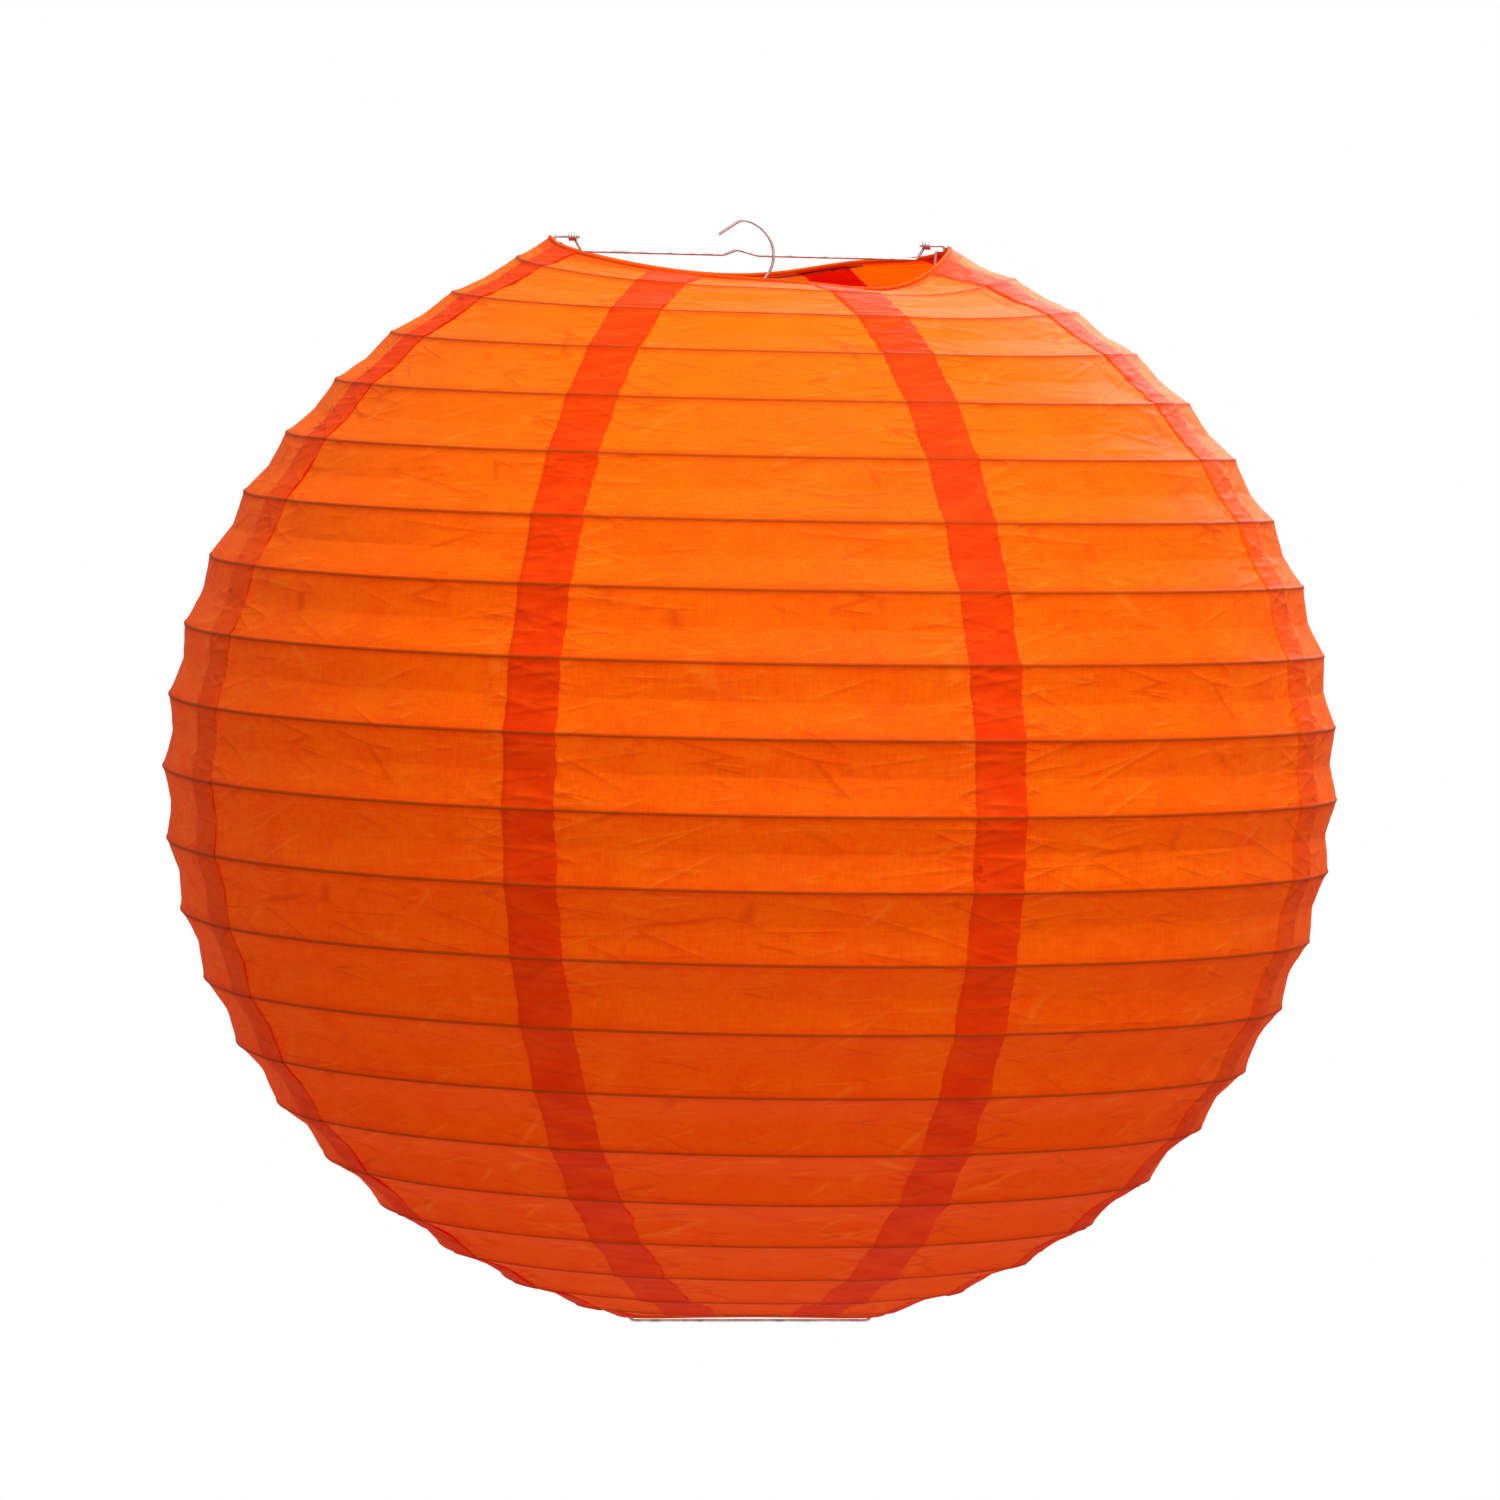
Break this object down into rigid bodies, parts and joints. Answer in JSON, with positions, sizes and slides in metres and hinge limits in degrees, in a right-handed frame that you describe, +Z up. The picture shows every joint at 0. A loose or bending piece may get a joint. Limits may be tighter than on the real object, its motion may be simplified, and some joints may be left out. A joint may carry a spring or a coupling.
{
  "type": "paper lantern",
  "caption": "Round paper lantern: glued paper gores over a spiral wire rib, stretched by a wire expander frame with a hanging hook.",
  "frame": {"origin": "inside top of the hanging hook, over the middle of the shade", "axes": "+Z up, +X along the crossbar, the front of the shade faces -Y"},
  "size_m": [0.407, 0.407, 0.3831],
  "materials": {
    "paper": "matt, translucent, dyed through",
    "rib_wire": "drawn steel wire",
    "frame_wire": "drawn steel wire"
  },
  "bodies": {
    "hanger": {"crossbar": "frame_wire", "hanging_hook": "frame_wire"},
    "expander": {"expander_frame": "frame_wire", "bottom_ring": "rib_wire", "bottom_hem": "paper", "rib_spiral": "rib_wire", "paper_panel_1": "paper", "paper_panel_2": "paper", "paper_panel_3": "paper", "paper_panel_4": "paper", "paper_panel_5": "paper", "paper_panel_6": "paper", "paper_panel_7": "paper", "paper_panel_8": "paper"},
    "top_rim": {"top_ring": "rib_wire", "top_hem": "paper"}
  },
  "joints": [
    {"name": "hanger_swing", "type": "hinge", "parent": "hanger", "child": "expander", "pos_m": [-0.00016, 0, -0.0062], "axis": [0.9997, 0, -0.0253], "range_deg": [-90, 90]},
    {"name": "shade_fold", "type": "slide", "parent": "expander", "child": "top_rim", "axis": [0, 0, -1], "range_m": [0, 0.34], "deforming": ["paper_panel_1", "paper_panel_2", "paper_panel_3", "paper_panel_4", "paper_panel_5", "paper_panel_6", "paper_panel_7", "paper_panel_8", "rib_spiral"]}
  ]
}
